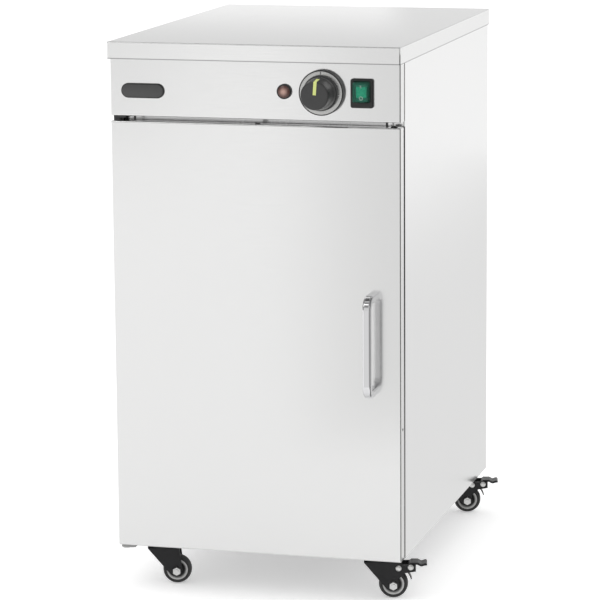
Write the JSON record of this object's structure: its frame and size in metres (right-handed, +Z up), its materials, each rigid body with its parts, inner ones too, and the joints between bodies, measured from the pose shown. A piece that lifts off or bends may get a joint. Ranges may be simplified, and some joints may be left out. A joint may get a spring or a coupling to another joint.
{
  "type": "plate warmer",
  "caption": "Mobile heated plate cabinet in satin stainless steel with a hinged door, bow handle, thermostat dial, lit switch, pilot lamp and swivel casters.",
  "frame": {"origin": "on the floor, under the middle of the outline", "axes": "+X to the right as seen from the front, +Y from the door to the back panel, +Z up"},
  "size_m": [0.424, 0.612, 0.7595],
  "materials": {
    "black_plastic": "fine matt",
    "boot_green": "clear soft plastic",
    "chrome_handle": "satin chrome",
    "chrome_wire": "bright plated rod",
    "copper": "bare copper",
    "element_steel": "heat tinted tube",
    "fork_black": "black coat",
    "gasket_rubber": "matt silicone",
    "hub_grey": "moulded",
    "inner_steel": "plain stainless sheet",
    "insulation": "mineral wool",
    "knob_black": "fine matt with a soft sheen",
    "lamp_red": "clear red-brown lens",
    "magnet_dark": "moulded",
    "rocker_green": "gloss",
    "satin_steel": "satin stainless sheet with a fine grain",
    "spindle_steel": "turned",
    "tyre_rubber": "matt",
    "white_plastic": "matt",
    "zinc": "bright zinc"
  },
  "bodies": {
    "cabinet": {"top_cover": "satin_steel", "left_side_panel": "satin_steel", "right_side_panel": "satin_steel", "back_panel": "satin_steel", "base_pan": "inner_steel", "control_fascia": "satin_steel", "liner_left": "inner_steel", "liner_right": "inner_steel", "liner_back": "inner_steel", "liner_floor": "inner_steel", "liner_ceiling": "inner_steel", "wall_insulation": "insulation", "pilot_lamp_lens": "lamp_red", "pilot_lamp_body": "black_plastic", "dial_bezel": "black_plastic", "thermostat_body": "white_plastic", "sensor_capillary": "copper", "switch_frame": "black_plastic", "switch_boot": "boot_green", "switch_body": "black_plastic", "terminal_block": "white_plastic", "safety_cutout": "magnet_dark", "heating_element": "element_steel", "element_brackets": "inner_steel", "element_guard": "inner_steel", "wire_shelf": "chrome_wire", "shelf_runners": "inner_steel", "hinge_brackets": "zinc", "hinge_pins": "zinc", "magnet_catch": "magnet_dark", "cable_gland": "black_plastic", "caster_plates": "fork_black"},
    "door": {"door_outer_skin": "satin_steel", "door_inner_panel": "inner_steel", "door_insulation": "insulation", "door_gasket": "gasket_rubber", "door_handle": "chrome_handle", "hinge_bushes": "black_plastic", "strike_plate": "zinc"},
    "knob": {"thermostat_knob": "knob_black", "thermostat_spindle": "spindle_steel"},
    "rocker": {"switch_rocker": "rocker_green"},
    "front_left_swivel": {"front_left_fork": "fork_black", "front_left_axle": "zinc"},
    "front_left_wheel": {"front_left_tyre": "tyre_rubber", "front_left_hub": "hub_grey"},
    "front_right_swivel": {"front_right_fork": "fork_black", "front_right_axle": "zinc"},
    "front_right_wheel": {"front_right_tyre": "tyre_rubber", "front_right_hub": "hub_grey"},
    "front_right_brake": {"front_right_pedal": "fork_black"},
    "rear_left_swivel": {"rear_left_fork": "fork_black", "rear_left_axle": "zinc"},
    "rear_left_wheel": {"rear_left_tyre": "tyre_rubber", "rear_left_hub": "hub_grey"},
    "rear_right_swivel": {"rear_right_fork": "fork_black", "rear_right_axle": "zinc"},
    "rear_right_wheel": {"rear_right_tyre": "tyre_rubber", "rear_right_hub": "hub_grey"},
    "rear_right_brake": {"rear_right_pedal": "fork_black"}
  },
  "joints": [
    {"name": "door_hinge", "type": "hinge", "parent": "cabinet", "child": "door", "pos_m": [-0.2025, -0.255, 0.064], "axis": [0, 0, -1], "range_deg": [0, 180]},
    {"name": "thermostat_turn", "type": "hinge", "parent": "cabinet", "child": "knob", "pos_m": [0.0837, -0.264, 0.6976], "axis": [0, 1, 0], "range_deg": [0, 270]},
    {"name": "switch_rock", "type": "hinge", "parent": "cabinet", "child": "rocker", "pos_m": [0.138, -0.262, 0.6998], "axis": [-1, 0, 0], "range_deg": [0, 12]},
    {"name": "front_left_swivel_turn", "type": "hinge", "parent": "cabinet", "child": "front_left_swivel", "pos_m": [-0.165, -0.213, 0.054], "axis": [0, 0, 1], "continuous": true},
    {"name": "front_left_wheel_spin", "type": "hinge", "parent": "front_left_swivel", "child": "front_left_wheel", "pos_m": [-0.14395, -0.20814, 0.02], "axis": [-0.225, 0.9744, 0], "continuous": true},
    {"name": "front_right_swivel_turn", "type": "hinge", "parent": "cabinet", "child": "front_right_swivel", "pos_m": [0.144, -0.213, 0.054], "axis": [0, 0, 1], "continuous": true},
    {"name": "front_right_wheel_spin", "type": "hinge", "parent": "front_right_swivel", "child": "front_right_wheel", "pos_m": [0.16505, -0.20814, 0.02], "axis": [-0.225, 0.9744, 0], "continuous": true},
    {"name": "front_right_brake_press", "type": "hinge", "parent": "front_right_swivel", "child": "front_right_brake", "pos_m": [0.18804, -0.20283, 0.045], "axis": [-0.225, 0.9744, 0], "range_deg": [0, 13]},
    {"name": "rear_left_swivel_turn", "type": "hinge", "parent": "cabinet", "child": "rear_left_swivel", "pos_m": [-0.165, 0.263, 0.054], "axis": [0, 0, 1], "continuous": true},
    {"name": "rear_left_wheel_spin", "type": "hinge", "parent": "rear_left_swivel", "child": "rear_left_wheel", "pos_m": [-0.14395, 0.26786, 0.02], "axis": [-0.225, 0.9744, 0], "continuous": true},
    {"name": "rear_right_swivel_turn", "type": "hinge", "parent": "cabinet", "child": "rear_right_swivel", "pos_m": [0.144, 0.263, 0.054], "axis": [0, 0, 1], "continuous": true},
    {"name": "rear_right_wheel_spin", "type": "hinge", "parent": "rear_right_swivel", "child": "rear_right_wheel", "pos_m": [0.16505, 0.26786, 0.02], "axis": [-0.225, 0.9744, 0], "continuous": true},
    {"name": "rear_right_brake_press", "type": "hinge", "parent": "rear_right_swivel", "child": "rear_right_brake", "pos_m": [0.18804, 0.27317, 0.045], "axis": [-0.225, 0.9744, 0], "range_deg": [0, 13]}
  ]
}
